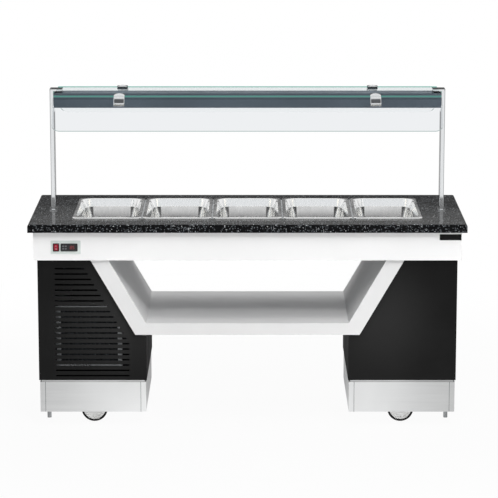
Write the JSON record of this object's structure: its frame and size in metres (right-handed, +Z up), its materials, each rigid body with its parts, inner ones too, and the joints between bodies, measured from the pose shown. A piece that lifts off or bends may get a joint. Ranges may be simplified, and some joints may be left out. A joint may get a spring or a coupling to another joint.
{
  "type": "steam table",
  "caption": "Free-standing steam table island with lift-out pans in a stone counter, a hinged glass guard on posts, louvred pedestals on casters and an open centre shelf.",
  "frame": {"origin": "on the ground under the middle of the unit", "axes": "+Z up, +X to the right seen from the front, the front with the controls faces -Y"},
  "size_m": [2.06, 0.8, 1.58],
  "materials": {
    "stone": "polished black stone with pale specks",
    "white_coat": "white satin powder coat",
    "black_coat": "black satin powder coat",
    "stainless": "satin stainless steel",
    "chrome": "polished chrome",
    "zinc_steel": "zinc-plated steel",
    "glass": "clear toughened glass, polished edges",
    "pad_rubber": "black rubber",
    "tyre_rubber": "black rubber",
    "wheel_nylon": "light grey nylon",
    "slate_paint": "slate grey coat",
    "diffuser": "opal acrylic",
    "plate_plastic": "off-white satin",
    "black_plastic": "black moulded plastic",
    "red_plastic": "red translucent plastic",
    "red_lever": "red dipped steel",
    "brass": "plain brass",
    "grey_box": "light grey coat"
  },
  "bodies": {
    "unit": {"granite_top": "stone", "fascia_skirt": "white_coat", "counter_floor": "zinc_steel", "well_tank": "stainless", "pan_bars": "stainless", "heating_element": "stainless", "temperature_probe": "stainless", "drain_valve": "brass", "pedestal_shells": "black_coat", "louvre_panel_front": "black_coat", "louvre_panel_rear": "black_coat", "plain_panels": "black_coat", "plinths": "stainless", "centre_shelf": "white_coat", "shelf_cheeks": "white_coat", "guard_posts": "chrome", "glass_brackets": "chrome", "bracket_pads": "pad_rubber", "shelf_glass": "glass", "canopy_housing": "slate_paint", "light_diffuser": "diffuser", "hinge_bases": "chrome", "control_plate": "plate_plastic", "controller": "black_plastic", "switch_frame": "black_plastic", "badge_plate": "black_plastic", "filter_frame": "stainless", "fan_housing": "black_plastic", "control_box": "grey_box", "cable_gland": "black_plastic", "caster_plates": "zinc_steel", "fasteners": "zinc_steel"},
    "pan_1": {"pan_1": "stainless"},
    "pan_2": {"pan_2": "stainless"},
    "pan_3": {"pan_3": "stainless"},
    "pan_4": {"pan_4": "stainless"},
    "pan_5": {"pan_5": "stainless"},
    "front_guard": {"front_flap": "glass", "front_hinge_leaves": "chrome"},
    "rear_guard": {"rear_flap": "glass", "rear_hinge_leaves": "chrome"},
    "rocker": {"switch_rocker": "red_plastic"},
    "tap_lever": {"drain_lever": "red_lever"},
    "fan": {"fan_rotor": "black_plastic"},
    "caster_front_left": {"fork_front_left": "zinc_steel"},
    "roller_front_left": {"wheel_front_left": "wheel_nylon", "tyre_front_left": "tyre_rubber"},
    "leveller_front_left": {"foot_front_left": "zinc_steel"},
    "caster_front_right": {"fork_front_right": "zinc_steel"},
    "roller_front_right": {"wheel_front_right": "wheel_nylon", "tyre_front_right": "tyre_rubber"},
    "leveller_front_right": {"foot_front_right": "zinc_steel"},
    "caster_rear_left": {"fork_rear_left": "zinc_steel"},
    "roller_rear_left": {"wheel_rear_left": "wheel_nylon", "tyre_rear_left": "tyre_rubber"},
    "leveller_rear_left": {"foot_rear_left": "zinc_steel"},
    "caster_rear_right": {"fork_rear_right": "zinc_steel"},
    "roller_rear_right": {"wheel_rear_right": "wheel_nylon", "tyre_rear_right": "tyre_rubber"},
    "leveller_rear_right": {"foot_rear_right": "zinc_steel"}
  },
  "joints": [
    {"name": "pan_1_lift", "type": "slide", "parent": "unit", "child": "pan_1", "axis": [0, 0, 1], "range_m": [0, 0.2]},
    {"name": "pan_2_lift", "type": "slide", "parent": "unit", "child": "pan_2", "axis": [0, 0, 1], "range_m": [0, 0.2]},
    {"name": "pan_3_lift", "type": "slide", "parent": "unit", "child": "pan_3", "axis": [0, 0, 1], "range_m": [0, 0.2]},
    {"name": "pan_4_lift", "type": "slide", "parent": "unit", "child": "pan_4", "axis": [0, 0, 1], "range_m": [0, 0.2]},
    {"name": "pan_5_lift", "type": "slide", "parent": "unit", "child": "pan_5", "axis": [0, 0, 1], "range_m": [0, 0.2]},
    {"name": "front_flap_hinge", "type": "hinge", "parent": "unit", "child": "front_guard", "pos_m": [0, -0.1753, 1.564], "axis": [-1, 0, 0], "range_deg": [0, 100]},
    {"name": "rear_flap_hinge", "type": "hinge", "parent": "unit", "child": "rear_guard", "pos_m": [0, 0.1753, 1.564], "axis": [1, 0, 0], "range_deg": [0, 100]},
    {"name": "switch_rock", "type": "hinge", "parent": "unit", "child": "rocker", "pos_m": [-0.898, -0.374, 0.879], "axis": [-1, 0, 0], "range_deg": [0, 16]},
    {"name": "tap_turn", "type": "hinge", "parent": "unit", "child": "tap_lever", "pos_m": [0.7805, 0.366, 0.64], "axis": [0, 0, -1], "range_deg": [0, 90]},
    {"name": "fan_spin", "type": "hinge", "parent": "unit", "child": "fan", "pos_m": [-0.75503, -0.22, 0.4185], "axis": [0, 1, 0], "continuous": true},
    {"name": "caster_swivel_front_left", "type": "hinge", "parent": "unit", "child": "caster_front_left", "pos_m": [-0.767, -0.227, 0.138], "axis": [0, 0, 1], "continuous": true},
    {"name": "wheel_spin_front_left", "type": "hinge", "parent": "caster_front_left", "child": "roller_front_left", "pos_m": [-0.735, -0.227, 0.0625], "axis": [0, 1, 0], "continuous": true},
    {"name": "foot_screw_front_left", "type": "slide", "parent": "unit", "child": "leveller_front_left", "axis": [0, 0, -1], "range_m": [0, 0.03]},
    {"name": "caster_swivel_front_right", "type": "hinge", "parent": "unit", "child": "caster_front_right", "pos_m": [0.767, -0.227, 0.138], "axis": [0, 0, 1], "continuous": true},
    {"name": "wheel_spin_front_right", "type": "hinge", "parent": "caster_front_right", "child": "roller_front_right", "pos_m": [0.735, -0.227, 0.0625], "axis": [0, 1, 0], "continuous": true},
    {"name": "foot_screw_front_right", "type": "slide", "parent": "unit", "child": "leveller_front_right", "axis": [0, 0, -1], "range_m": [0, 0.03]},
    {"name": "caster_swivel_rear_left", "type": "hinge", "parent": "unit", "child": "caster_rear_left", "pos_m": [-0.767, 0.227, 0.138], "axis": [0, 0, 1], "continuous": true},
    {"name": "wheel_spin_rear_left", "type": "hinge", "parent": "caster_rear_left", "child": "roller_rear_left", "pos_m": [-0.735, 0.227, 0.0625], "axis": [0, 1, 0], "continuous": true},
    {"name": "foot_screw_rear_left", "type": "slide", "parent": "unit", "child": "leveller_rear_left", "axis": [0, 0, -1], "range_m": [0, 0.03]},
    {"name": "caster_swivel_rear_right", "type": "hinge", "parent": "unit", "child": "caster_rear_right", "pos_m": [0.767, 0.227, 0.138], "axis": [0, 0, 1], "continuous": true},
    {"name": "wheel_spin_rear_right", "type": "hinge", "parent": "caster_rear_right", "child": "roller_rear_right", "pos_m": [0.735, 0.227, 0.0625], "axis": [0, 1, 0], "continuous": true},
    {"name": "foot_screw_rear_right", "type": "slide", "parent": "unit", "child": "leveller_rear_right", "axis": [0, 0, -1], "range_m": [0, 0.03]}
  ]
}
